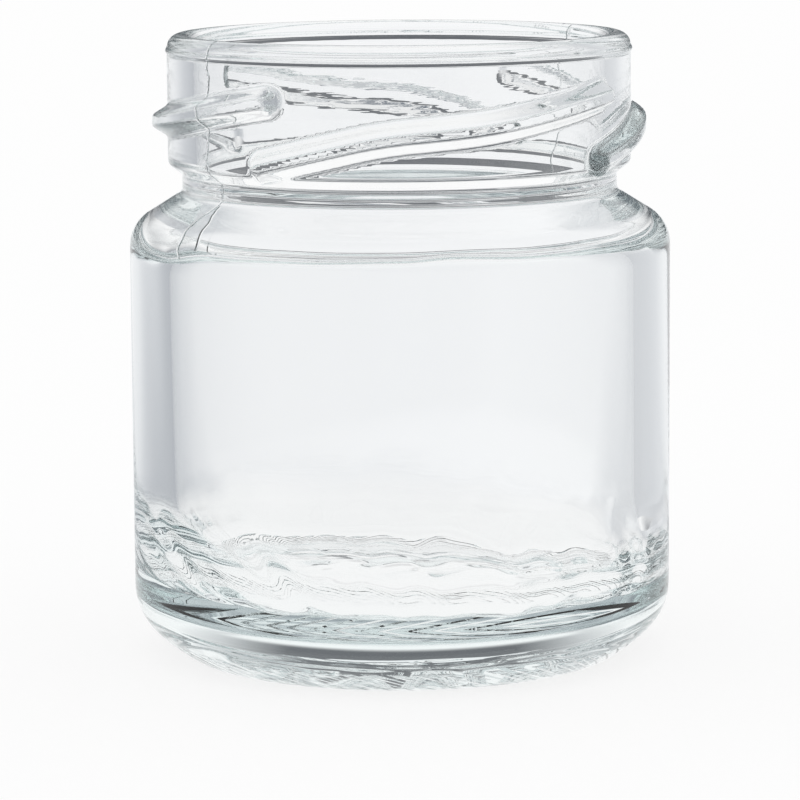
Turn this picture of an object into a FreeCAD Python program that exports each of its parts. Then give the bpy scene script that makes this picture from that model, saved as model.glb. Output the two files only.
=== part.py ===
"""Preserving jar: one piece of clear soda-lime glass with a four-lug screw finish, about 55 ml.

Millimetres, +Z up. The origin is the centre of the circle that the jar stands on, and Z is the
jar's axis. In every sketch x is a radius and y is a height.
"""
import FreeCAD
import Part
import Sketcher
import math
import os

SIZES = {
    # overall
    "body_radius": 23.5,
    "total_height": 54.0,
    # heel and foot: the heel is a tight arc from the wall, then a wide one; insets are from the wall
    "heel_radius": 5.25,
    "heel_sweep": 47.2,
    "undercut_radius": 16.9,
    "foot_inset": 4.52,
    "foot_width": 2.0,
    "underside_rise": 1.9,
    # shoulder, groove and finish: the finish is measured down from the rim, the rest from the finish
    "shoulder_rise": 2.87,
    "shoulder_radius": 3.2,
    "root_radius": 0.9,
    "groove_height": 1.56,
    "groove_inset": 4.63,
    "bead_rise": 0.95,
    "bead_depth": 1.21,
    "bead_radius": 0.5,
    "finish_height": 11.1,
    "rim_outer_radius": 1.15,
    "rim_inner_radius": 0.85,
    # cavity
    "mouth_wall": 2.18,
    "mouth_draft": 0.3,
    "body_wall": 3.1,
    "inner_shoulder_lag": 2.0,
    "inner_shoulder_rise": 5.6,
    "inner_shoulder_radius": 0.9,
    "floor_height": 4.9,
    "floor_dome": 1.3,
    "floor_corner_radius": 7.0,
    # lugs: each climbs a steep lead, a long dwell and a short run-out, then sinks into the wall
    "lug_depth": 1.33,
    "lug_section_radius": 1.5,
    "lug_foot_rise": 0.85,
    "lug_start_angle": 56.0,
    "lead_angle": 32.0,
    "lead_rise": 3.6,
    "dwell_angle": 38.0,
    "dwell_rise": 0.85,
    "runout_angle": 23.0,
    "runout_rise": 1.45,
}
LUG_COUNT = 4

# how far the cavity's cutter runs past the rim
ABOVE_RIM = 2.0

# the most that each rim fillet may take of the mouth's wall
RIM_OUTER_SHARE = 0.55
RIM_INNER_SHARE = 0.42

# how near, in mm, an edge has to lie to the circle that a fillet asks for
SAME_CIRCLE = 0.01

# how deep a lug's tips lie inside the wall, as a share of the wall
TIP_SINK = 0.1

# stations along a lug, as shares of its lead, dwell and run-out, and of its full section
LUG_STATIONS = (
    (0.0, 0.0, 0.0, 0.3),
    (0.25, 0.0, 0.0, 1.0),
    (0.6, 0.0, 0.0, 1.0),
    (1.0, 0.0, 0.0, 1.0),
    (1.0, 0.5, 0.0, 1.0),
    (1.0, 1.0, 0.0, 1.0),
    (1.0, 1.0, 0.6, 1.0),
    (1.0, 1.0, 1.0, 0.3),
)


def make_sheet(doc):
    """Spreadsheet with one named cell for each driving size."""
    sheet = doc.addObject("Spreadsheet::Sheet", "sizes")
    for row, (name, value) in enumerate(SIZES.items(), start=1):
        sheet.set(f"A{row}", name)
        sheet.set(f"B{row}", str(value))
        sheet.setAlias(f"B{row}", name)
    doc.recompute()
    return sheet


def vector(point):
    return FreeCAD.Vector(point[0], point[1], 0)


def origin_feature(body, role):
    """Plane or axis of the body's own origin."""
    return next(item for item in body.Origin.OriginFeatures if item.Role == role)


def new_sketch(body, name):
    """Sketch on the body's XZ plane."""
    sketch = body.newObject("Sketcher::SketchObject", name)
    sketch.AttachmentSupport = [(origin_feature(body, "XZ_Plane"), "")]
    sketch.MapMode = "FlatFace"
    return sketch


def fix(sketch, kind, *where):
    sketch.addConstraint(Sketcher.Constraint(kind, *where))


def bind(sketch, kind, where, formula, value):
    """Dimension that follows the formula; the value is its size while it is being drawn."""
    fix(sketch, kind, *where, value)
    name = f"{kind}_{sketch.ConstraintCount}"
    sketch.renameConstraint(sketch.ConstraintCount - 1, name)
    sketch.setExpression(f"Constraints.{name}", formula)


def measure(sketch, kind, where, size):
    """Dimension equal to one named size."""
    bind(sketch, kind, where, f"sizes.{size} * 1 mm", SIZES[size])


def chain(sketch, points):
    """Straight lines through the points, joined end to start."""
    lines = []
    for start, end in zip(points, points[1:]):
        lines.append(sketch.addGeometry(Part.LineSegment(vector(start), vector(end)), False))
    for first, second in zip(lines, lines[1:]):
        fix(sketch, "Coincident", first, 2, second, 1)
    return lines


def arc(sketch, centre, radius, start_angle, end_angle):
    """Anticlockwise arc, with its angles in radians."""
    circle = Part.Circle(vector(centre), FreeCAD.Vector(0, 0, 1), radius)
    return sketch.addGeometry(Part.ArcOfCircle(circle, start_angle, end_angle), False)


def dome(sketch, edge_radius, edge_height, rise):
    """Shallow arc from a dome's edge up to its top on the axis; returns it and the ends of its rise."""
    radius = (edge_radius ** 2 + rise ** 2) / (2 * rise)
    centre = (0, edge_height + rise - radius)
    shape = arc(sketch, centre, radius, math.asin((radius - rise) / radius), math.pi / 2)
    fix(sketch, "PointOnObject", shape, 3, -2)
    fix(sketch, "PointOnObject", shape, 2, -2)
    return shape, (shape, 1, shape, 2)


def require_solved(sketch):
    """Stop on a sketch that is loose or contradicts itself."""
    if sketch.solve() != 0 or sketch.DoF != 0:
        raise ValueError(f"{sketch.Label}: {sketch.DoF} degrees of freedom are left")


def revolve(body, sketch, kind, name):
    feature = body.newObject(kind, name)
    feature.Profile = sketch
    feature.ReferenceAxis = (sketch, ["V_Axis"])
    feature.Angle = 360
    return feature


def heights():
    """Heights of the rim, the finish's lower edge, the groove's two ends and the shoulder's corner."""
    rim = SIZES["total_height"]
    bead = rim - SIZES["finish_height"]
    groove_top = bead - SIZES["bead_rise"]
    groove_root = groove_top - SIZES["groove_height"]
    return rim, bead, groove_top, groove_root, groove_root - SIZES["shoulder_rise"]


def build_outside(doc, body):
    """Solid blank: foot, two-arc heel, wall, sloping shoulder, groove and finish, with its edges sharp."""
    wall = SIZES["body_radius"]
    rim, bead, groove_top, groove_root, shoulder = heights()
    foot_outer = wall - SIZES["foot_inset"]
    foot_inner = foot_outer - SIZES["foot_width"]
    groove = wall - SIZES["groove_inset"]
    finish = groove + SIZES["bead_depth"]
    sweep = math.radians(SIZES["heel_sweep"])
    reach = SIZES["undercut_radius"] - SIZES["heel_radius"]
    undercut_x = wall - SIZES["heel_radius"] - reach * math.cos(sweep)
    undercut_end = math.acos((foot_outer - undercut_x) / SIZES["undercut_radius"])
    undercut_y = SIZES["undercut_radius"] * math.sin(undercut_end)
    heel = undercut_y - reach * math.sin(sweep)
    sketch = new_sketch(body, "OutsideProfile")

    upper = chain(sketch, [
        (wall, heel),
        (wall, shoulder),
        (groove, groove_root),
        (groove, groove_top),
        (finish, bead),
        (finish, rim),
        (0, rim),
        (0, SIZES["underside_rise"]),
    ])
    wall_line, slope, groove_line, bead_line, finish_line, rim_line, axis_line = upper
    for upright in (wall_line, groove_line, finish_line):
        fix(sketch, "Vertical", upright)
    fix(sketch, "Horizontal", rim_line)
    fix(sketch, "PointOnObject", rim_line, 2, -2)
    measure(sketch, "DistanceX", (-1, 1, wall_line, 1), "body_radius")
    measure(sketch, "DistanceY", (-1, 1, rim_line, 1), "total_height")
    measure(sketch, "DistanceY", (slope, 1, slope, 2), "shoulder_rise")
    measure(sketch, "DistanceY", (groove_line, 1, groove_line, 2), "groove_height")
    measure(sketch, "DistanceX", (groove_line, 1, wall_line, 1), "groove_inset")
    measure(sketch, "DistanceY", (bead_line, 1, bead_line, 2), "bead_rise")
    measure(sketch, "DistanceX", (bead_line, 1, bead_line, 2), "bead_depth")
    measure(sketch, "DistanceY", (finish_line, 1, finish_line, 2), "finish_height")

    heel_arc = arc(sketch, (wall - SIZES["heel_radius"], heel), SIZES["heel_radius"], -sweep, 0)
    undercut = arc(
        sketch, (undercut_x, undercut_y), SIZES["undercut_radius"], -undercut_end, -sweep,
    )
    foot_line, = chain(sketch, [(foot_inner, 0), (foot_outer, 0)])
    fix(sketch, "Tangent", heel_arc, 2, wall_line, 1)
    fix(sketch, "Tangent", undercut, 2, heel_arc, 1)
    fix(sketch, "Coincident", foot_line, 2, undercut, 1)
    fix(sketch, "PointOnObject", foot_line, 1, -1)
    fix(sketch, "PointOnObject", foot_line, 2, -1)
    measure(sketch, "Radius", (heel_arc,), "heel_radius")
    measure(sketch, "Radius", (undercut,), "undercut_radius")
    bind(sketch, "Angle", (heel_arc,), "sizes.heel_sweep * 1 deg", sweep)
    measure(sketch, "DistanceX", (foot_line, 2, wall_line, 1), "foot_inset")
    measure(sketch, "DistanceX", (foot_line, 1, foot_line, 2), "foot_width")

    underside, rise = dome(sketch, foot_inner, 0, SIZES["underside_rise"])
    fix(sketch, "Coincident", underside, 1, foot_line, 1)
    fix(sketch, "Coincident", underside, 2, axis_line, 2)
    measure(sketch, "DistanceY", rise, "underside_rise")

    doc.recompute()
    require_solved(sketch)
    return revolve(body, sketch, "PartDesign::Revolution", "Blank")


def build_cavity(doc, body):
    """Hollow: domed floor, straight wall, inner shoulder and a slightly tapered mouth."""
    rim, *_, outer_shoulder = heights()
    shoulder = outer_shoulder - SIZES["inner_shoulder_lag"]
    inside = SIZES["body_radius"] - SIZES["body_wall"]
    finish = SIZES["body_radius"] - SIZES["groove_inset"] + SIZES["bead_depth"]
    mouth = finish - SIZES["mouth_wall"]
    floor = SIZES["floor_height"]
    sketch = new_sketch(body, "CavityProfile")

    lines = chain(sketch, [
        (inside, floor),
        (inside, shoulder),
        (mouth - SIZES["mouth_draft"], shoulder + SIZES["inner_shoulder_rise"]),
        (mouth, rim),
        (mouth, rim + ABOVE_RIM),
        (0, rim + ABOVE_RIM),
        (0, floor + SIZES["floor_dome"]),
    ])
    wall_line, slope, mouth_line, overshoot, lid_line, axis_line = lines
    floor_arc, rise = dome(sketch, inside, floor, SIZES["floor_dome"])
    fix(sketch, "Vertical", wall_line)
    fix(sketch, "Vertical", overshoot)
    fix(sketch, "Horizontal", lid_line)
    fix(sketch, "PointOnObject", lid_line, 2, -2)
    fix(sketch, "Coincident", floor_arc, 1, wall_line, 1)
    fix(sketch, "Coincident", floor_arc, 2, axis_line, 2)
    radius = "sizes.body_radius * 1 mm"
    height = "sizes.total_height * 1 mm"
    bind(sketch, "DistanceX", (-1, 1, wall_line, 1), f"{radius} - sizes.body_wall * 1 mm", inside)
    bind(
        sketch, "DistanceX", (-1, 1, mouth_line, 2),
        f"{radius} - (sizes.groove_inset - sizes.bead_depth + sizes.mouth_wall) * 1 mm", mouth,
    )
    bind(sketch, "DistanceY", (-1, 1, mouth_line, 2), height, rim)
    bind(
        sketch, "DistanceY", (wall_line, 2, mouth_line, 2),
        "(sizes.finish_height + sizes.bead_rise + sizes.groove_height + sizes.shoulder_rise"
        " + sizes.inner_shoulder_lag) * 1 mm", rim - shoulder,
    )
    measure(sketch, "DistanceY", (slope, 1, slope, 2), "inner_shoulder_rise")
    measure(sketch, "DistanceX", (mouth_line, 1, mouth_line, 2), "mouth_draft")
    measure(sketch, "DistanceY", (-1, 1, wall_line, 1), "floor_height")
    measure(sketch, "DistanceY", rise, "floor_dome")
    bind(sketch, "DistanceY", (overshoot, 1, overshoot, 2), f"{ABOVE_RIM} mm", ABOVE_RIM)

    doc.recompute()
    require_solved(sketch)
    return revolve(body, sketch, "PartDesign::Groove", "Cavity")


def circle_edge(shape, radius, height):
    """Name of the full circle about Z with this radius and height."""
    for number, edge in enumerate(shape.Edges, start=1):
        if edge.Degenerated or not isinstance(edge.Curve, Part.Circle):
            continue
        gap = edge.Curve.Center.distanceToPoint(FreeCAD.Vector(0, 0, height))
        if max(gap, abs(edge.Curve.Radius - radius)) < SAME_CIRCLE:
            return f"Edge{number}"
    raise ValueError(f"no circle of radius {radius} at height {height}")


def round_corners(doc, body, corners):
    """Fillets on circles about the axis, each given as name, radius, height and its own radius."""
    for name, radius, height, formula in corners:
        doc.recompute()
        base = body.Tip
        fillet = body.newObject("PartDesign::Fillet", name)
        fillet.Base = (base, [circle_edge(base.Shape, radius, height)])
        fillet.setExpression("Radius", formula)
        body.Tip = fillet


def round_outside(doc, body):
    wall = SIZES["body_radius"]
    groove = wall - SIZES["groove_inset"]
    finish = groove + SIZES["bead_depth"]
    rim, bead, _, groove_root, shoulder = heights()
    rim_radius = f"min(sizes.rim_outer_radius; {RIM_OUTER_SHARE} * sizes.mouth_wall) * 1 mm"
    round_corners(doc, body, (
        ("Shoulder", wall, shoulder, "sizes.shoulder_radius * 1 mm"),
        ("GrooveRoot", groove, groove_root, "sizes.root_radius * 1 mm"),
        ("Bead", finish, bead, "sizes.bead_radius * 1 mm"),
        ("RimOutside", finish, rim, rim_radius),
    ))


def round_inside(doc, body):
    inside = SIZES["body_radius"] - SIZES["body_wall"]
    finish = SIZES["body_radius"] - SIZES["groove_inset"] + SIZES["bead_depth"]
    rim, *_, outer_shoulder = heights()
    shoulder = outer_shoulder - SIZES["inner_shoulder_lag"]
    rim_radius = f"min(sizes.rim_inner_radius; {RIM_INNER_SHARE} * sizes.mouth_wall) * 1 mm"
    round_corners(doc, body, (
        ("FloorCorner", inside, SIZES["floor_height"], "sizes.floor_corner_radius * 1 mm"),
        ("InnerShoulder", inside, shoulder, "sizes.inner_shoulder_radius * 1 mm"),
        ("RimInside", finish - SIZES["mouth_wall"], rim, rim_radius),
    ))


def lug_section(body, number, lead, dwell, runout, share):
    """Round section of a lug at one station; a tip's small section lies inside the wall."""
    sketch = new_sketch(body, f"LugSection{number}")
    sketch.AttachmentOffset = FreeCAD.Placement(
        FreeCAD.Vector(0, 0, 0), FreeCAD.Rotation(FreeCAD.Vector(0, 1, 0), SIZES["lug_start_angle"])
    )
    sketch.setExpression(
        ".AttachmentOffset.Rotation.Angle",
        f"sizes.lug_start_angle + {lead} * sizes.lead_angle"
        f" + {dwell} * sizes.dwell_angle + {runout} * sizes.runout_angle",
    )
    finish = "sizes.body_radius - sizes.groove_inset + sizes.bead_depth"
    proud = "sizes.lug_depth" if share == 1.0 else f"-{TIP_SINK} * sizes.mouth_wall"
    section = SIZES["lug_section_radius"] * share
    centre = SIZES["body_radius"] - SIZES["groove_inset"]
    height = SIZES["total_height"] - SIZES["finish_height"] + SIZES["lug_foot_rise"]
    circle = Part.Circle(vector((centre, height)), FreeCAD.Vector(0, 0, 1), section)
    sketch.addGeometry(circle, False)
    bind(sketch, "Radius", (0,), f"{share} * sizes.lug_section_radius * 1 mm", section)
    bind(
        sketch, "DistanceX", (-1, 1, 0, 3),
        f"({finish} + {proud} - {share} * sizes.lug_section_radius) * 1 mm", centre,
    )
    bind(
        sketch, "DistanceY", (-1, 1, 0, 3),
        f"(sizes.total_height - sizes.finish_height + sizes.lug_foot_rise + {lead} * sizes.lead_rise"
        f" + {dwell} * sizes.dwell_rise + {runout} * sizes.runout_rise) * 1 mm", height,
    )
    return sketch


def build_lugs(doc, body):
    """One lofted lug, repeated evenly about the axis."""
    sections = [
        lug_section(body, number, *station)
        for number, station in enumerate(LUG_STATIONS, start=1)
    ]
    doc.recompute()
    for sketch in sections:
        require_solved(sketch)
    lug = body.newObject("PartDesign::AdditiveLoft", "Lug")
    lug.Profile = (sections[0], [""])
    lug.Sections = [(sketch, [""]) for sketch in sections[1:]]
    body.Tip = lug
    doc.recompute()

    lugs = body.newObject("PartDesign::PolarPattern", "Lugs")
    lugs.Originals = [lug]
    lugs.Axis = (origin_feature(body, "Z_Axis"), [""])
    lugs.Angle = 360
    lugs.Occurrences = LUG_COUNT
    body.Tip = lugs


def check(doc, body):
    """Stop on a failed feature or on anything but one closed solid."""
    failed = [item.Label for item in doc.Objects if {"Invalid", "Error"} & set(item.State)]
    if failed:
        raise ValueError(f"failed: {', '.join(failed)}")
    shape = body.Shape
    if shape.isNull() or not shape.isValid() or len(shape.Solids) != 1:
        raise ValueError(f"{body.Label}: not one valid solid")


def main():
    doc = FreeCAD.newDocument("PreservingJar")
    make_sheet(doc)
    body = doc.addObject("PartDesign::Body", "jar")
    body.Label = "jar"
    build_outside(doc, body)
    round_outside(doc, body)
    build_lugs(doc, body)
    build_cavity(doc, body)
    round_inside(doc, body)
    doc.recompute()
    check(doc, body)

    os.makedirs("parts", exist_ok=True)
    body.Shape.exportStep(f"parts/{body.Label}.step")
    print(f"{body.Label}: {body.Shape.Volume / 1000:.2f} cm3 of glass")


main()
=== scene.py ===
import bpy
import math
from mathutils import Matrix, Vector


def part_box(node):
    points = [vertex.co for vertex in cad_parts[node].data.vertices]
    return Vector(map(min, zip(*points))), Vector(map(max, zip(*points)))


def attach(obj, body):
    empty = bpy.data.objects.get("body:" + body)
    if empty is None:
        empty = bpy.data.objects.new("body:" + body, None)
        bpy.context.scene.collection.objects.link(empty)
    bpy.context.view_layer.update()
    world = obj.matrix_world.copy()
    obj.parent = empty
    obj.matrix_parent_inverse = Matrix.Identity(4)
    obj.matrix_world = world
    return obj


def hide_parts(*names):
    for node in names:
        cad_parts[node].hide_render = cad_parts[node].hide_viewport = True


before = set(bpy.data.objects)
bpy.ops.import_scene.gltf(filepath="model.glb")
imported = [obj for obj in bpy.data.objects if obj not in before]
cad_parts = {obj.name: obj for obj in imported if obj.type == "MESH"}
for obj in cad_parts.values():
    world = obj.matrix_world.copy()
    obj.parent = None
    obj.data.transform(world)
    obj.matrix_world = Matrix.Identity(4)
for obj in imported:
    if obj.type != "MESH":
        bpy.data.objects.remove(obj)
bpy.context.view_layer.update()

jarLow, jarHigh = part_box("jar")
mm = 0.001
rimHeight = jarHigh[2]
bodyRadius = (jarHigh[0] - jarLow[0]) / 2


def deselectAll():
    if bpy.context.object and bpy.context.object.mode != "OBJECT":
        bpy.ops.object.mode_set(mode="OBJECT")
    bpy.ops.object.select_all(action="DESELECT")


def makeActive(piece):
    deselectAll()
    piece.select_set(True)
    bpy.context.view_layer.objects.active = piece


def arcPoints(centre, radius, startAngle, endAngle, count):
    # points of an arc in the (radius, height) plane, angles in degrees, start left out
    sweep = endAngle - startAngle
    angles = [math.radians(startAngle + sweep * k / count) for k in range(1, count + 1)]
    return [(centre[0] + radius * math.cos(a), centre[1] + radius * math.sin(a)) for a in angles]


def linePoints(start, end, count):
    # evenly spaced points of a line, start left out
    return [
        (start[0] + (end[0] - start[0]) * k / count, start[1] + (end[1] - start[1]) * k / count)
        for k in range(1, count + 1)
    ]


def filletBetween(before, corner, after, radius, count):
    # arc that rounds a corner of the outline, with its two tangent points
    toBefore = (Vector(before) - Vector(corner)).normalized()
    toAfter = (Vector(after) - Vector(corner)).normalized()
    half = toBefore.angle(toAfter) / 2
    centre = Vector(corner) + (toBefore + toAfter).normalized() * (radius / math.sin(half))
    first = Vector(corner) + toBefore * (radius / math.tan(half)) - centre
    second = Vector(corner) + toAfter * (radius / math.tan(half)) - centre
    startAngle = math.degrees(math.atan2(first.y, first.x))
    turn = math.degrees(math.atan2(first.x * second.y - first.y * second.x, first.dot(second)))
    return [tuple(centre + first)] + arcPoints(centre, radius, startAngle, startAngle + turn, count)


def smoothStep(low, high, value):
    # from 0 at low to 1 at high
    share = min(max((value - low) / (high - low), 0), 1)
    return share * share * (3 - 2 * share)


def fadeOut(low, high, value):
    # from 1 at low to 0 at high
    return smoothStep(-high, -low, -value)


# the glass in millimetres, drawn as one outline from the middle of the underside
# over the outside and the rim to the middle of the floor

glass = {
    "columns": 336,
    # foot and heel
    "undersideRise": 1.9,
    "footInner": 16.98,
    "footOuter": 18.98,
    "heelRadius": 5.25,
    "heelSweep": 47.2,
    "undercutRadius": 16.9,
    # shoulder and groove, heights down from the rim
    "shoulderCorner": 16.48,
    "shoulderRise": 2.87,
    "shoulderRadius": 3.2,
    "grooveInset": 4.63,
    "rootRadius": 0.9,
    # finish
    "finishHeight": 11.1,
    "beadRise": 0.95,
    "beadDepth": 1.21,
    "beadRadius": 0.5,
    "partingDrop": 1.4,
    "partingDepth": 0.15,
    "partingHalf": 0.28,
    "rimOuterRadius": 1.15,
    "rimInnerRadius": 0.85,
    # inside
    "mouthWall": 2.18,
    "mouthDraft": 0.3,
    "bodyWall": 3.1,
    "innerShoulderLag": 2.0,
    "innerShoulderRise": 5.6,
    "creaseStart": 0.1,
    "creaseDepth": 0.2,
    "creaseRise": 0.18,
    # the crease's section from the top down, as shares of its depth and its rise
    "creaseSection": ((0.6, 0.35), (1, 0), (0.7, -0.5), (0.2, -1.3), (0, -2.4)),
    "throatRadius": 0.8,
    "floorHeight": 4.9,
    "floorDome": 1.3,
    "floorCornerRadius": 7.0,
}

# how many straight pieces each stretch of the outline has
pieces = {
    "dome": 24, "foot": 12, "undercut": 6, "heel": 14, "wall": 22, "shoulder": 12, "slope": 5,
    "root": 8, "groove": 3, "flank": 3, "bead": 5, "finish": 46, "rim": 9,
    "lip": 8, "mouth": 18, "throat": 6, "innerSlope": 5, "innerWall": 24, "floorCorner": 18, "floor": 18,
}


def outsideOutline():
    g = glass
    wall = bodyRadius / mm
    rim = rimHeight / mm
    groove = wall - g["grooveInset"]
    finish = groove + g["beadDepth"]
    bead = rim - g["finishHeight"]
    shoulder = rim - g["shoulderCorner"]

    # underside: a shallow dome from the axis to the foot
    domeRadius = (g["footInner"] ** 2 + g["undersideRise"] ** 2) / (2 * g["undersideRise"])
    domeCentre = (0, g["undersideRise"] - domeRadius)
    domeEdge = math.degrees(math.asin((domeRadius - g["undersideRise"]) / domeRadius))
    points = [(0, g["undersideRise"])]
    points += arcPoints(domeCentre, domeRadius, 90, domeEdge, pieces["dome"])
    points += linePoints(points[-1], (g["footOuter"], 0), pieces["foot"])

    # heel: a wide arc from the foot, then a tight one into the wall
    sweep = math.radians(g["heelSweep"])
    reach = g["undercutRadius"] - g["heelRadius"]
    undercutX = wall - g["heelRadius"] - reach * math.cos(sweep)
    undercutEnd = math.acos((g["footOuter"] - undercutX) / g["undercutRadius"])
    undercutY = g["undercutRadius"] * math.sin(undercutEnd)
    heel = undercutY - reach * math.sin(sweep)
    points += arcPoints((undercutX, undercutY), g["undercutRadius"], -math.degrees(undercutEnd),
                        -g["heelSweep"], pieces["undercut"])
    points += arcPoints((wall - g["heelRadius"], heel), g["heelRadius"], -g["heelSweep"], 0,
                        pieces["heel"])

    # wall, rounded shoulder, slope, groove and the finish's lower edge
    corners = [
        (wall, heel),
        (wall, shoulder),
        (groove, shoulder + g["shoulderRise"]),
        (groove, bead - g["beadRise"]),
        (finish, bead),
        (finish, rim - g["partingDrop"] - g["partingHalf"]),
    ]
    shoulderArc = filletBetween(*corners[:3], g["shoulderRadius"], pieces["shoulder"])
    rootArc = filletBetween(*corners[1:4], g["rootRadius"], pieces["root"])
    beadArc = filletBetween(*corners[3:], g["beadRadius"], pieces["bead"])
    points += linePoints(points[-1], shoulderArc[0], pieces["wall"]) + shoulderArc[1:]
    points += linePoints(points[-1], rootArc[0], pieces["slope"]) + rootArc[1:]
    points += linePoints(points[-1], corners[3], pieces["groove"])
    points += linePoints(points[-1], beadArc[0], pieces["flank"]) + beadArc[1:]
    points += linePoints(points[-1], corners[5], pieces["finish"])

    # parting bead under the rim, then the rim's outer rounding
    parting = rim - g["partingDrop"]
    points += [
        (finish + g["partingDepth"] * share, parting + g["partingHalf"] * place)
        for place, share in ((-0.5, 0.6), (0, 1), (0.5, 0.6), (1, 0))
    ]
    rimArc = filletBetween((finish, bead), (finish, rim), (0, rim), g["rimOuterRadius"], pieces["rim"])
    return points + rimArc


def insideOutline():
    g = glass
    wall = bodyRadius / mm
    rim = rimHeight / mm
    inside = wall - g["bodyWall"]
    mouth = wall - g["grooveInset"] + g["beadDepth"] - g["mouthWall"]
    shoulder = rim - g["shoulderCorner"] - g["innerShoulderLag"]
    throat = (mouth - g["mouthDraft"], shoulder + g["innerShoulderRise"])
    points = filletBetween((wall, rim), (mouth, rim), throat, g["rimInnerRadius"], pieces["lip"])
    throatArc = filletBetween((mouth, rim), throat, (inside, shoulder), g["throatRadius"],
                              pieces["throat"])
    points += linePoints(points[-1], throatArc[0], pieces["mouth"]) + throatArc[1:]
    # a crease runs round where the blown wall meets the shoulder
    rise, depth = g["creaseRise"], g["creaseDepth"]
    start = (inside - g["creaseStart"], shoulder + rise)
    points += linePoints(points[-1], start, pieces["innerSlope"])
    points += [(inside + depth * out, shoulder + rise * up) for out, up in g["creaseSection"]]
    middle = (0, g["floorHeight"] + g["floorDome"])
    corner = (inside, g["floorHeight"])
    cornerArc = filletBetween((inside, shoulder), corner, middle, g["floorCornerRadius"],
                              pieces["floorCorner"])
    points += linePoints(points[-1], cornerArc[0], pieces["innerWall"]) + cornerArc[1:]
    # floor: it leaves the corner along the fillet and levels off in the middle
    edgeX, edgeY = points[-1]
    for k in range(1, pieces["floor"] + 1):
        share = k / pieces["floor"]
        level = edgeY + (middle[1] - edgeY) * math.sin(share * math.pi / 2)
        points.append((edgeX * (1 - share), level))
    return points


def makeGlassShell():
    # the outline is drawn by extruding one point and then spun round the axis
    outline = [Vector((x * mm, 0, z * mm)) for x, z in outsideOutline() + insideOutline()]
    deselectAll()
    bpy.ops.mesh.primitive_plane_add(size=mm, location=outline[0])
    shell = bpy.context.object
    shell.name = "jar_glass"
    bpy.ops.object.mode_set(mode="EDIT")
    bpy.ops.mesh.merge(type="CENTER")
    shortest = 0.001 * mm
    for start, end in zip(outline, outline[1:]):
        if (end - start).length > shortest:
            bpy.ops.mesh.extrude_region_move(TRANSFORM_OT_translate={"value": end - start})
    bpy.ops.mesh.select_all(action="SELECT")
    bpy.ops.mesh.spin(steps=glass["columns"], angle=2 * math.pi, center=(0, 0, 0), axis=(0, 0, 1))
    bpy.ops.mesh.select_all(action="SELECT")
    bpy.ops.mesh.remove_doubles(threshold=0.002 * mm)
    bpy.ops.mesh.normals_make_consistent(inside=False)
    bpy.ops.object.mode_set(mode="OBJECT")
    bpy.ops.object.transform_apply(location=True, rotation=True, scale=True)
    bpy.ops.object.shade_smooth()
    print("glass shell:", len(outline), "rings,", len(shell.data.polygons), "faces")
    return shell


jarGlass = makeGlassShell()


# relief and unevenness: a vertex group says how much of it each point takes,
# and one Displace modifier moves the points
def displaceGroup(piece, name, strength, weightOf, direction="NORMAL"):
    group = piece.vertex_groups.new(name=name)
    for vertex in piece.data.vertices:
        weight = weightOf(vertex.co / mm)
        if weight > 0:
            group.add([vertex.index], min(weight, 1), "REPLACE")
    modifier = piece.modifiers.new(name, "DISPLACE")
    modifier.vertex_group = name
    modifier.direction = direction
    modifier.mid_level = 0
    modifier.strength = strength * mm
    makeActive(piece)
    bpy.ops.object.modifier_apply(modifier=name)
    piece.vertex_groups.remove(piece.vertex_groups[name])
    print("relief:", name)


# slanted lugs on the finish, in millimetres and degrees; each has a lead, a flatter dwell
# and a run-out
lugs = {
    "count": 4,
    "start": -34.0,
    "depth": 1.33,
    "halfWidth": 1.5, "crestShare": 0.25,
    "footRise": 0.9,
    "leadAngle": 30.0, "leadRise": 2.55,
    "dwellAngle": 25.0, "dwellRise": 0.75,
    "runoutAngle": 36.0, "runoutRise": 2.1,
    "kneeShifts": (-6, -3, 0, 3, 6),
    # only points this far in from the finish and below the bead are looked at
    "inset": 0.4, "below": 1.0,
}


def frontAngle(point):
    # degrees round the jar from the front, towards +X
    return math.degrees(math.atan2(point.x, -point.y))


def lugHeight(angle):
    # height of a lug's crest above its foot
    g = lugs
    rise = g["leadRise"] * min(angle / g["leadAngle"], 1)
    late = angle - g["leadAngle"]
    rise += g["dwellRise"] * min(max(late / g["dwellAngle"], 0), 1)
    last = late - g["dwellAngle"]
    return rise + g["runoutRise"] * max(last / g["runoutAngle"], 0)


def smoothLugHeight(angle):
    # the same with its two knees rounded
    return sum(lugHeight(angle + shift) for shift in lugs["kneeShifts"]) / len(lugs["kneeShifts"])


def lugWeight(point):
    radius = math.hypot(point.x, point.y)
    finish = bodyRadius / mm - glass["grooveInset"] + glass["beadDepth"]
    base = rimHeight / mm - glass["finishHeight"]
    if radius < finish - lugs["inset"] or point.z < base - lugs["below"]:
        return 0
    span = lugs["leadAngle"] + lugs["dwellAngle"] + lugs["runoutAngle"]
    best = 0
    # angles run from -180 to 180, so the lugs are counted past both ends
    for number in range(-2, lugs["count"] + 1):
        turn = frontAngle(point) - lugs["start"] - 360 / lugs["count"] * number
        along = min(max(turn, 0), span)
        side = math.radians(turn - along) * finish
        rise = (smoothLugHeight(along + 1) - smoothLugHeight(along - 1)) / (math.radians(2) * finish)
        up = (point.z - base - lugs["footRise"] - smoothLugHeight(along)) / math.hypot(1, rise)
        away = math.hypot(side, up) / lugs["halfWidth"]
        if away < 1:
            best = max(best, 1 - smoothStep(lugs["crestShare"], 1, away))
    return best


displaceGroup(jarGlass, "lugs", lugs["depth"], lugWeight)

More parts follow.
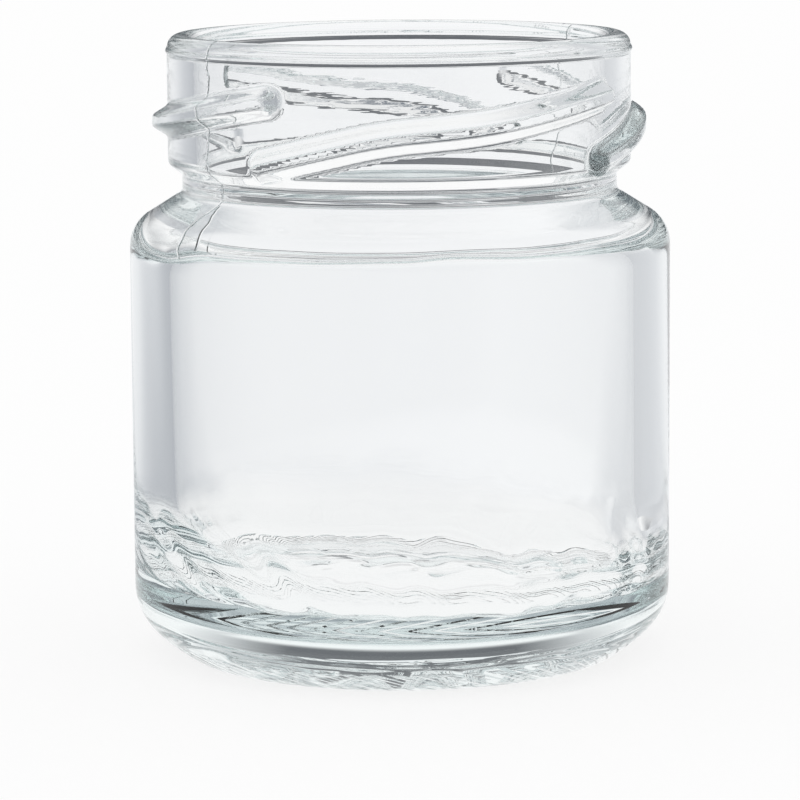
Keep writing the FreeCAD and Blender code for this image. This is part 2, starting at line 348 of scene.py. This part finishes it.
# the mould shapes the outside, but the inside is only blown: thicker on one side at the
# bottom, rippled down the walls and uneven along the shoulder and the floor
blown = {
    # what counts as inside: above the underside, and this far in from the outside, more so from
    # the shoulder up
    "insideBottom": 3.4, "insideGap": 1.6, "insideDrop": 1.5, "insideSlope": 0.9, "insideNarrow": 3.6,
    "bottomShift": 1.1, "bottomFade": (7.0, 14.0),
    # waves round the jar: how many, how high against the others, and where they start; a twist
    # is in degrees per millimetre up
    "wallRipple": 0.16, "wallTwist": 0.25, "wallFade": (8, 14), "wallTopFade": 3,
    "wallWaves": ((3, 0.9, 0.3), (5, 0.6, 1.9), (8, 0.45, 4.4), (11, 0.3, 0.8), (17, 0.22, 2.5),
                  (26, 0.12, 5.1)),
    "cornerRipple": 0.55, "cornerTwist": 1.5, "cornerFade": (11, 16), "cornerTopFade": (9, 15),
    "cornerWaves": ((6, 0.6, 1.1), (10, 0.7, 3.9), (15, 0.6, 0.2), (23, 0.5, 2.2), (34, 0.3, 5.6)),
    # degrees from the front and height
    "shoulderSag": 1.0, "shoulderBelow": (6, 0.5), "shoulderAbove": (0.5, 4), "shoulderLowest": -0.3,
    "shoulderHeights": ((-180, 0.5), (-110, 0.7), (-64, -0.3), (-45, 0.3), (-22, 0.42), (0, 0.6),
                        (12, 0.85), (30, 0.6), (43, 0.6), (67, 0.4), (110, 0.75), (180, 0.5)),
    # waves over the floor: radians per millimetre along X and Y, and where they start
    "floorRipple": 0.5, "floorFade": (11, 17), "floorTop": 9,
    "floorWaves": ((0.55, 0.2, 0.4), (-0.35, 0.75, 2.0), (1.1, -0.5, 3.3), (0.4, 1.35, 5.0),
                   (-1.5, 0.9, 0.9)),
}


def isInside(point):
    b = blown
    radius = math.hypot(point.x, point.y)
    limit = bodyRadius / mm - b["insideGap"]
    shoulder = rimHeight / mm - glass["shoulderCorner"] - b["insideDrop"]
    limit = min(limit, max(limit - b["insideNarrow"], limit - (point.z - shoulder) * b["insideSlope"]))
    return point.z > b["insideBottom"] and radius < limit


def roundWaves(angle, waves):
    # between 0 and 1
    turn = math.radians(angle)
    height = sum(size * math.sin(count * turn + start) for count, size, start in waves)
    return 0.5 + 0.5 * height / sum(size for count, size, start in waves)


def bottomWeight(point):
    return isInside(point) * fadeOut(*blown["bottomFade"], point.z)


def wallWeight(point):
    # ripples that run down the wall with a slight twist
    b = blown
    top = rimHeight / mm - glass["shoulderCorner"]
    fade = smoothStep(*b["wallFade"], point.z) * fadeOut(top - b["wallTopFade"], top, point.z)
    return isInside(point) * fade * roundWaves(frontAngle(point) + point.z * b["wallTwist"], b["wallWaves"])


def cornerWeight(point):
    b = blown
    radius = math.hypot(point.x, point.y)
    fade = smoothStep(*b["cornerFade"], radius) * fadeOut(*b["cornerTopFade"], point.z)
    turn = frontAngle(point) + point.z * b["cornerTwist"]
    return isInside(point) * fade * roundWaves(turn, b["cornerWaves"])


def shoulderWeight(point):
    b = blown
    angle = frontAngle(point)
    level = 0
    for (before, low), (after, high) in zip(b["shoulderHeights"], b["shoulderHeights"][1:]):
        if before <= angle <= after:
            level = low + (high - low) * smoothStep(before, after, angle)
    corner = rimHeight / mm - glass["shoulderCorner"] - glass["innerShoulderLag"]
    fade = smoothStep(corner - b["shoulderBelow"][0], corner - b["shoulderBelow"][1], point.z)
    fade *= fadeOut(corner + b["shoulderAbove"][0], corner + b["shoulderAbove"][1], point.z)
    return isInside(point) * fade * (level - b["shoulderLowest"]) / (1 - b["shoulderLowest"])


def floorWeight(point):
    b = blown
    radius = math.hypot(point.x, point.y)
    if not isInside(point) or radius > b["floorFade"][1] or point.z > b["floorTop"]:
        return 0
    waves = b["floorWaves"]
    height = sum(math.sin(x * point.x + y * point.y + start) for x, y, start in waves) / len(waves)
    return (1 - smoothStep(*b["floorFade"], radius)) * (0.5 + 0.5 * height)


displaceGroup(jarGlass, "uneven bottom", blown["bottomShift"], bottomWeight, "X")
displaceGroup(jarGlass, "rippled wall", blown["wallRipple"], wallWeight)
displaceGroup(jarGlass, "rippled corner", blown["cornerRipple"], cornerWeight)
displaceGroup(jarGlass, "uneven shoulder", blown["shoulderSag"], shoulderWeight, "Z")
displaceGroup(jarGlass, "floor waves", blown["floorRipple"], floorWeight, "Z")


def hexColour(code, alpha=1.0):
    # sRGB hex to linear
    channels = [int(code[k:k + 2], 16) / 255 for k in (1, 3, 5)]
    linear = [c / 12.92 if c <= 0.04045 else ((c + 0.055) / 1.055) ** 2.4 for c in channels]
    return (*linear, alpha)


def greyColour(value):
    return (value, value, value, 1)


def newMaterial(name):
    # a material with an empty node tree
    material = bpy.data.materials.new(name)
    material.use_nodes = True
    material.node_tree.nodes.clear()
    return material, material.node_tree


def addNode(tree, kind, settings=None, inputs=None):
    # an input is linked if it is given a socket, and set if it is given a value
    node = tree.nodes.new(kind)
    for name, value in (settings or {}).items():
        setattr(node, name, value)
    for name, value in (inputs or {}).items():
        if isinstance(value, bpy.types.NodeSocket):
            tree.links.new(value, node.inputs[name])
        else:
            node.inputs[name].default_value = value
    return node


# fine relief that the mesh is too coarse for, in millimetres and degrees
surface = {
    "barCount": 64, "barSlant": 1.72, "barHeight": 0.35, "barFlank": (-0.5, 0.6),
    "barTop": 1.9, "barTopFade": 0.6, "barInner": 16.9, "barInnerFade": 0.5,
    "seamAngle": -53.0, "seamWidth": 0.2, "seamHeight": 0.07, "seamBottom": 36.0,
    "seamSway": 1.6, "seamSwayScale": 0.35,
    "wrinkleHeight": 0.02, "wrinkleLength": 8.0, "wrinkleRise": 1.2,
    "wrinkleBottom": 44.0, "wrinkleFade": 5.0,
    # beyond this radius the finish and the shoulder are outside, within it they are inside
    "outsideRadius": 18.4,
}


def sodaLimeGlass():
    # pressed and blown soda-lime glass, IOR 1.52: fire-polished, a faint sea green where it is thick
    material, tree = newMaterial("soda lime glass")
    s = surface
    place = addNode(tree, "ShaderNodeTexCoord").outputs["Object"]
    size = addNode(tree, "ShaderNodeVectorMath", {"operation": "SCALE"}, {0: place, "Scale": 1 / mm})
    split = addNode(tree, "ShaderNodeSeparateXYZ", None, {0: size.outputs[0]})
    x, y, z = split.outputs
    back = addNode(tree, "ShaderNodeMath", {"operation": "MULTIPLY"}, {0: y, 1: -1.0}).outputs[0]
    angle = addNode(tree, "ShaderNodeMath", {"operation": "ARCTAN2"}, {0: x, 1: back}).outputs[0]
    flat = addNode(tree, "ShaderNodeVectorMath", {"operation": "MULTIPLY"},
                   {0: size.outputs[0], 1: (1, 1, 0)}).outputs[0]
    radius = addNode(tree, "ShaderNodeVectorMath", {"operation": "LENGTH"}, {0: flat}).outputs["Value"]

    # slanted bars moulded round the foot, which keep it from sticking to a wet belt
    path = addNode(tree, "ShaderNodeMath", {"operation": "ADD"}, {0: radius, 1: z}).outputs[0]
    slant = addNode(tree, "ShaderNodeMath", {"operation": "MULTIPLY"},
                    {0: path, 1: 2 * math.pi / s["barSlant"]}).outputs[0]
    phase = addNode(tree, "ShaderNodeMath", {"operation": "MULTIPLY_ADD"},
                    {0: angle, 1: float(s["barCount"]), 2: slant}).outputs[0]
    wave = addNode(tree, "ShaderNodeMath", {"operation": "SINE"}, {0: phase}).outputs[0]
    crest = addNode(tree, "ShaderNodeMapRange", {"interpolation_type": "SMOOTHSTEP"},
                    {"Value": wave, "From Min": s["barFlank"][0], "From Max": s["barFlank"][1]}).outputs[0]
    below = addNode(tree, "ShaderNodeMapRange", {"interpolation_type": "SMOOTHSTEP"},
                    {"Value": z, "From Min": s["barTop"], "From Max": s["barTop"] - s["barTopFade"],
                     "To Max": s["barHeight"]}).outputs[0]
    beyond = addNode(tree, "ShaderNodeMapRange", {"interpolation_type": "SMOOTHSTEP"},
                     {"Value": radius, "From Min": s["barInner"],
                      "From Max": s["barInner"] + s["barInnerFade"]}).outputs[0]
    band = addNode(tree, "ShaderNodeMath", {"operation": "MULTIPLY"}, {0: below, 1: beyond}).outputs[0]
    bars = addNode(tree, "ShaderNodeMath", {"operation": "MULTIPLY"}, {0: crest, 1: band}).outputs[0]

    # the mould's two seams, which wander a little, on the outside of the finish and the shoulder
    sway = addNode(tree, "ShaderNodeTexNoise", {"noise_dimensions": "1D"},
                   {"W": z, "Scale": s["seamSwayScale"], "Detail": 2.0})
    bent = addNode(tree, "ShaderNodeMath", {"operation": "MULTIPLY_ADD"},
                   {0: sway.outputs[0], 1: math.radians(2 * s["seamSway"]), 2: angle}).outputs[0]
    turned = addNode(tree, "ShaderNodeMath", {"operation": "SUBTRACT"},
                     {0: bent, 1: math.radians(s["seamAngle"] + s["seamSway"])}).outputs[0]
    across = addNode(tree, "ShaderNodeMath", {"operation": "SINE"}, {0: turned}).outputs[0]
    reach = addNode(tree, "ShaderNodeMath", {"operation": "MULTIPLY"}, {0: across, 1: radius}).outputs[0]
    away = addNode(tree, "ShaderNodeMath", {"operation": "ABSOLUTE"}, {0: reach}).outputs[0]
    ridge = addNode(tree, "ShaderNodeMapRange", {"interpolation_type": "SMOOTHSTEP"},
                    {"Value": away, "From Min": s["seamWidth"], "From Max": 0.0,
                     "To Max": s["seamHeight"]}).outputs[0]
    outside = addNode(tree, "ShaderNodeMath", {"operation": "GREATER_THAN"},
                      {0: radius, 1: s["outsideRadius"]}).outputs[0]
    above = addNode(tree, "ShaderNodeMath", {"operation": "GREATER_THAN"},
                    {0: z, 1: s["seamBottom"]}).outputs[0]
    side = addNode(tree, "ShaderNodeMath", {"operation": "MULTIPLY"}, {0: outside, 1: above}).outputs[0]
    seams = addNode(tree, "ShaderNodeMath", {"operation": "MULTIPLY"}, {0: ridge, 1: side}).outputs[0]

    # long flat wrinkles inside the finish, where the blown glass met the plunger's skin
    stretch = addNode(tree, "ShaderNodeVectorMath", {"operation": "MULTIPLY"}, {
        0: size.outputs[0], 1: (1 / s["wrinkleLength"], 1 / s["wrinkleLength"], 1 / s["wrinkleRise"])})
    folds = addNode(tree, "ShaderNodeTexNoise", None, {0: stretch.outputs[0], "Scale": 1.0, "Detail": 3.0})
    inner = addNode(tree, "ShaderNodeMath", {"operation": "SUBTRACT"}, {0: 1.0, 1: outside}).outputs[0]
    upper = addNode(tree, "ShaderNodeMapRange", {"interpolation_type": "SMOOTHSTEP"},
                    {"Value": z, "From Min": s["wrinkleBottom"],
                     "From Max": s["wrinkleBottom"] + s["wrinkleFade"],
                     "To Max": s["wrinkleHeight"]}).outputs[0]
    within = addNode(tree, "ShaderNodeMath", {"operation": "MULTIPLY"}, {0: inner, 1: upper}).outputs[0]
    wrinkles = addNode(tree, "ShaderNodeMath", {"operation": "MULTIPLY"},
                       {0: folds.outputs[0], 1: within}).outputs[0]

    total = addNode(tree, "ShaderNodeMath", {"operation": "ADD"}, {0: wrinkles, 1: seams}).outputs[0]
    total = addNode(tree, "ShaderNodeMath", {"operation": "ADD"}, {0: total, 1: bars}).outputs[0]
    bump = addNode(tree, "ShaderNodeBump", None, {"Height": total, "Distance": mm, "Strength": 1.0})

    shader = addNode(tree, "ShaderNodeBsdfPrincipled", None, {
        "Base Color": hexColour("#ffffff"), "Roughness": 0.0, "IOR": 1.52,
        "Transmission Weight": 1.0, "Normal": bump.outputs[0],
    })
    absorb = addNode(tree, "ShaderNodeVolumeAbsorption", None,
                     {"Color": hexColour("#d8ecec"), "Density": 8.0})
    addNode(tree, "ShaderNodeOutputMaterial", None,
            {"Surface": shader.outputs[0], "Volume": absorb.outputs[0]})
    return material


jarGlass.data.materials.clear()
jarGlass.data.materials.append(sodaLimeGlass())
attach(jarGlass, "root")
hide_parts("jar")
print("glass material done")


# millimetres and degrees
view = {
    "height": 21.8, "distance": 359.5, "elevation": 8.5, "lens": 184.5, "roll": 0.37, "shift": -0.00125,
}

studio = {
    # metres
    "floorSize": 6, "wallRadius": 2.5,
    # the pale sweep and the background that the camera sees
    "floorGlow": 0.82, "floorShade": 0.17, "backdrop": 0.99,
    # what the glass mirrors and bends, by compass direction: degrees from the backdrop, grey, extra blue
    "table": (
        (-180, 0.50, 0.05), (-145, 0.45, 0.04), (-126, 0.55, 0.03), (-105, 0.48, 0.04), (-75, 0.42, 0.05),
        (-50, 0.50, 0.05), (-35, 0.62, 0.05), (-22, 0.90, 0.02), (0, 0.95, 0.02), (22, 0.95, 0.02),
        (35, 0.72, 0.04), (60, 0.62, 0.04), (105, 0.70, 0.02), (140, 0.68, 0.02), (165, 0.52, 0.04),
        (180, 0.50, 0.05),
    ),
    # grey close to the jar, and the millimetres over which the compass takes over
    "tableNear": 0.96, "tableStart": 30, "tableEnd": 80,
    "walls": (
        (-180, 0.15, 0.06), (-140, 0.20, 0.05), (-118, 0.70, 0.03), (-90, 0.98, 0.01), (-65, 1.0, 0.0),
        (-45, 1.0, 0.0), (-30, 0.60, 0.02), (-17, 0.12, 0.02), (0, 0.12, 0.02), (17, 0.12, 0.02),
        (30, 0.60, 0.02), (45, 1.0, 0.0), (65, 1.0, 0.0), (95, 1.0, 0.0), (120, 0.75, 0.03),
        (150, 0.25, 0.05), (180, 0.15, 0.06),
    ),
    "ceiling": 0.88, "ceilingStart": 35.0, "ceilingEnd": 60.0,
    # the soft box over the backdrop: its lower edge, half width and blur in degrees, and its grey
    "boxLow": 16.0, "boxHalf": 32.0, "boxEdge": 4.0, "box": 1.0,
}


def makeFloor():
    # a pale sweep that glows, as one lit through from below does
    deselectAll()
    bpy.ops.mesh.primitive_plane_add(size=studio["floorSize"], location=(0, 0, 0))
    floor = bpy.context.object
    floor.name = "floor"
    # translucent white acrylic with an even matt finish
    material, tree = newMaterial("white acrylic sweep")
    paint = addNode(tree, "ShaderNodeBsdfDiffuse", None, {"Color": greyColour(studio["floorShade"])})
    glow = addNode(tree, "ShaderNodeEmission", None, {"Strength": studio["floorGlow"]})
    both = addNode(tree, "ShaderNodeAddShader", None, {0: paint.outputs[0], 1: glow.outputs[0]})
    addNode(tree, "ShaderNodeOutputMaterial", None, {"Surface": both.outputs[0]})
    floor.data.materials.append(material)
    floor.visible_glossy = False
    floor.visible_transmission = False


def makeWorld():
    world = bpy.data.worlds.new("white studio")
    world.use_nodes = True
    background = world.node_tree.nodes["Background"]
    background.inputs["Color"].default_value = greyColour(1)
    background.inputs["Strength"].default_value = studio["backdrop"]
    bpy.context.scene.world = world
    bpy.context.scene.view_settings.view_transform = "Standard"


def compassRamp(tree, vector, stops):
    # colour by compass direction, and the direction itself in degrees from the backdrop
    split = addNode(tree, "ShaderNodeSeparateXYZ", None, {0: vector})
    turn = addNode(tree, "ShaderNodeMath", {"operation": "ARCTAN2"},
                   {0: split.outputs[0], 1: split.outputs[1]})
    degrees = addNode(tree, "ShaderNodeMath", {"operation": "DEGREES"}, {0: turn.outputs[0]})
    share = addNode(tree, "ShaderNodeMapRange", None,
                    {"Value": degrees.outputs[0], "From Min": -180.0, "From Max": 180.0})
    ramp = addNode(tree, "ShaderNodeValToRGB", None, {0: share.outputs[0]})
    elements = ramp.color_ramp.elements
    while len(elements) < len(stops):
        elements.new(0.5)
    for element, (angle, grey, blue) in zip(elements, stops):
        element.position = (angle + 180) / 360
        element.color = (grey, grey + blue * 0.4, grey + blue, 1)
    return ramp.outputs[0], degrees.outputs[0]


def finishStudioPiece(piece, tree, colour):
    # glows, and is seen by the glass alone, so that the floor and the background stay plain
    glow = addNode(tree, "ShaderNodeEmission", None, {"Color": colour, "Strength": 1.0})
    addNode(tree, "ShaderNodeOutputMaterial", None, {"Surface": glow.outputs[0]})
    piece.visible_camera = False
    piece.visible_diffuse = False
    piece.visible_shadow = False
    piece.visible_volume_scatter = False


def makeStudioTable():
    # white close to the jar, then lit from behind and dimmer at the sides and in front
    deselectAll()
    bpy.ops.mesh.primitive_plane_add(size=studio["floorSize"], location=(0, 0, 0))
    table = bpy.context.object
    table.name = "studio table"
    material, tree = newMaterial("lit table")
    s = studio
    place = addNode(tree, "ShaderNodeTexCoord").outputs["Object"]
    size = addNode(tree, "ShaderNodeVectorMath", {"operation": "SCALE"},
                   {0: place, "Scale": 1 / mm}).outputs[0]
    around, degrees = compassRamp(tree, size, s["table"])
    reach = addNode(tree, "ShaderNodeVectorMath", {"operation": "LENGTH"}, {0: size}).outputs["Value"]
    far = addNode(tree, "ShaderNodeMapRange", {"interpolation_type": "SMOOTHSTEP"},
                  {"Value": reach, "From Min": s["tableStart"], "From Max": s["tableEnd"]}).outputs[0]
    # inputs 6 and 7 of a colour mix are its two colours, and output 2 is the mixed colour
    whole = addNode(tree, "ShaderNodeMix", {"data_type": "RGBA"},
                    {0: far, 6: greyColour(s["tableNear"]), 7: around}).outputs[2]
    table.data.materials.append(material)
    finishStudioPiece(table, tree, whole)


def makeStudioWalls():
    # dim in front and just over the backdrop, lit at the sides and by a soft box above
    deselectAll()
    bpy.ops.mesh.primitive_uv_sphere_add(segments=48, ring_count=24, radius=studio["wallRadius"])
    walls = bpy.context.object
    walls.name = "studio walls"
    material, tree = newMaterial("lit walls")
    s = studio
    place = addNode(tree, "ShaderNodeTexCoord").outputs["Object"]
    unit = addNode(tree, "ShaderNodeVectorMath", {"operation": "NORMALIZE"}, {0: place}).outputs[0]
    split = addNode(tree, "ShaderNodeSeparateXYZ", None, {0: unit})
    around, degrees = compassRamp(tree, unit, s["walls"])
    lean = addNode(tree, "ShaderNodeMath", {"operation": "ARCSINE"}, {0: split.outputs[2]}).outputs[0]
    height = addNode(tree, "ShaderNodeMath", {"operation": "DEGREES"}, {0: lean}).outputs[0]
    aside = addNode(tree, "ShaderNodeMath", {"operation": "ABSOLUTE"}, {0: degrees}).outputs[0]
    edge = s["boxEdge"]
    low = addNode(tree, "ShaderNodeMapRange", {"interpolation_type": "SMOOTHSTEP"},
                  {"Value": height, "From Min": s["boxLow"] - edge,
                   "From Max": s["boxLow"] + edge}).outputs[0]
    wide = addNode(tree, "ShaderNodeMapRange", {"interpolation_type": "SMOOTHSTEP"},
                   {"Value": aside, "From Min": s["boxHalf"] + edge,
                    "From Max": s["boxHalf"] - edge}).outputs[0]
    box = addNode(tree, "ShaderNodeMath", {"operation": "MULTIPLY"}, {0: low, 1: wide}).outputs[0]
    over = addNode(tree, "ShaderNodeMapRange", {"interpolation_type": "SMOOTHSTEP"},
                   {"Value": height, "From Min": s["ceilingStart"], "From Max": s["ceilingEnd"]}).outputs[0]
    whole = addNode(tree, "ShaderNodeMix", {"data_type": "RGBA"},
                    {0: box, 6: around, 7: greyColour(s["box"])}).outputs[2]
    whole = addNode(tree, "ShaderNodeMix", {"data_type": "RGBA"},
                    {0: over, 6: whole, 7: greyColour(s["ceiling"])}).outputs[2]
    walls.data.materials.append(material)
    finishStudioPiece(walls, tree, whole)


def makeCamera():
    # a long lens that looks slightly down at the jar
    camera = bpy.data.objects.new("camera", bpy.data.cameras.new("camera"))
    bpy.context.scene.collection.objects.link(camera)
    camera.data.sensor_width = 36
    camera.data.lens = view["lens"]
    camera.data.clip_start = 0.01
    tilt = math.radians(view["elevation"])
    reach = view["distance"] * mm
    camera.location = (0, -reach * math.cos(tilt), view["height"] * mm + reach * math.sin(tilt))
    aim = Matrix.Rotation(math.radians(90) - tilt, 4, "X")
    aim = aim @ Matrix.Rotation(math.radians(-view["roll"]), 4, "Z")
    camera.rotation_euler = aim.to_euler()
    camera.data.shift_x = view["shift"]
    bpy.context.scene.camera = camera


makeFloor()
makeWorld()
makeStudioTable()
makeStudioWalls()
makeCamera()
print("studio done")

# light runs round inside thick glass many times before it leaves
bounces = 24
cycles = bpy.context.scene.cycles
cycles.max_bounces = bounces
cycles.transmission_bounces = bounces
cycles.glossy_bounces = bounces
